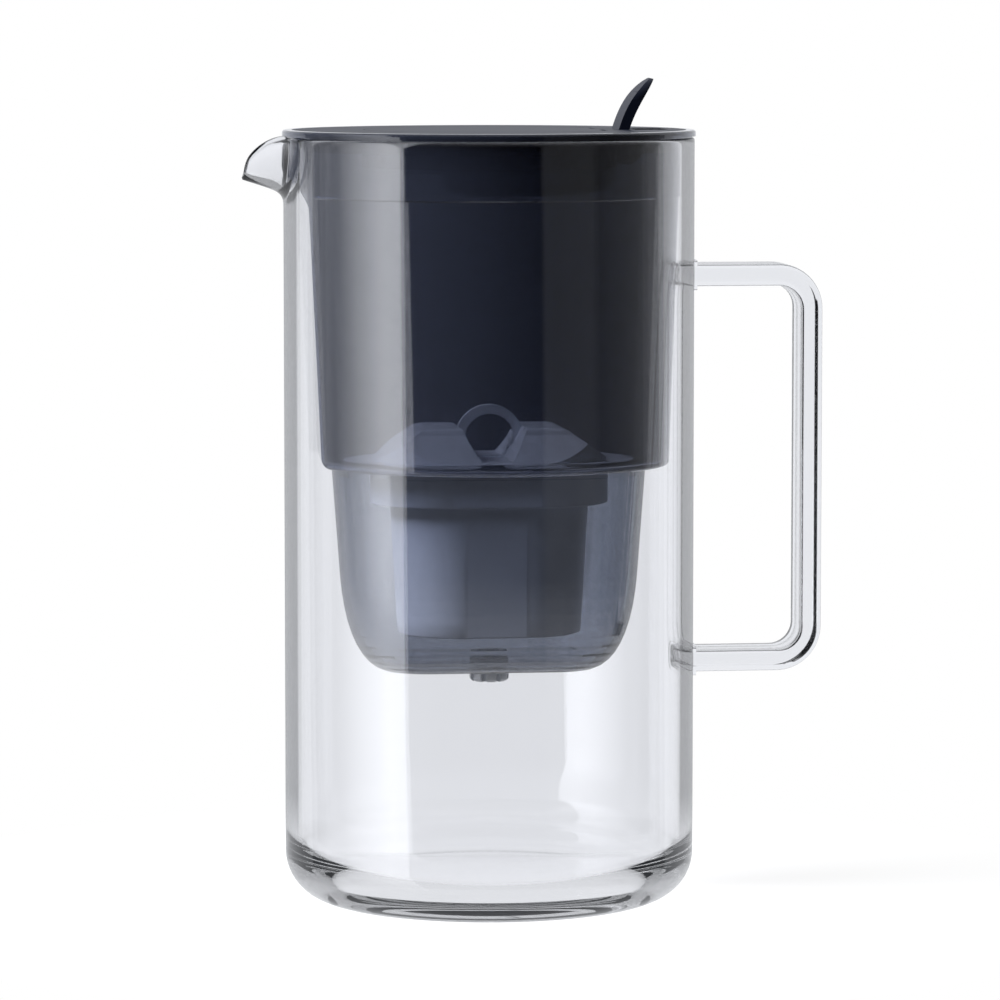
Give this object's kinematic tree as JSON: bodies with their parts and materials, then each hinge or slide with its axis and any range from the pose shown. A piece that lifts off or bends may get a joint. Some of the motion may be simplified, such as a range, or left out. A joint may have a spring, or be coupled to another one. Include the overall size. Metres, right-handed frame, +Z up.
{
  "type": "water filter pitcher",
  "caption": "Clear glass filter jug with a strap handle and spout, a smoked reservoir hanging in its mouth, an oval cartridge in a cup below, and a lid with a thumb-operated flap.",
  "frame": {"origin": "centre of the jug's flat base, where its axis meets the table", "axes": "+Z up along the jug's axis, +X towards the handle, -X towards the spout"},
  "size_m": [0.1793, 0.1268, 0.253],
  "materials": {
    "jug_glass": "clear polished borosilicate glass",
    "dark_smoke_plastic": "polished, dark navy see-through smoke",
    "smoke_plastic": "polished, blue-grey see-through smoke",
    "nozzle_plastic": "satin moulded",
    "cartridge_plastic": "satin moulded, light grey-blue",
    "screen_mesh": "fine woven mesh",
    "granules": "loose dark granules",
    "seal_rubber": "soft moulded silicone",
    "lid_plastic": "moulded, near-black navy",
    "pin_steel": "ground wire"
  },
  "bodies": {
    "jug": {"glass_jug": "jug_glass", "glass_handle": "jug_glass"},
    "reservoir": {"reservoir": "dark_smoke_plastic", "filter_cup": "smoke_plastic", "outlet_nozzle": "nozzle_plastic"},
    "cartridge": {"cartridge_shell": "cartridge_plastic", "cartridge_base": "cartridge_plastic", "outlet_screen": "screen_mesh", "filter_granules": "granules", "inlet_screen": "screen_mesh", "cartridge_cap": "cartridge_plastic", "cartridge_seal": "seal_rubber"},
    "lid": {"lid_frame": "lid_plastic", "splash_guard": "smoke_plastic", "hinge_pin": "pin_steel"},
    "flap": {"flap": "lid_plastic"}
  },
  "joints": [
    {"name": "reservoir_lift", "type": "slide", "parent": "jug", "child": "reservoir", "axis": [0, 0, 1], "range_m": [0, 0.175]},
    {"name": "cartridge_lift", "type": "slide", "parent": "reservoir", "child": "cartridge", "axis": [0, 0, 1], "range_m": [0, 0.056]},
    {"name": "lid_lift", "type": "slide", "parent": "reservoir", "child": "lid", "axis": [0, 0, 1], "range_m": [0, 0.03]},
    {"name": "flap_hinge", "type": "hinge", "parent": "lid", "child": "flap", "pos_m": [0.042, 0, 0.231], "axis": [0, 1, 0], "range_deg": [0, 48]}
  ]
}
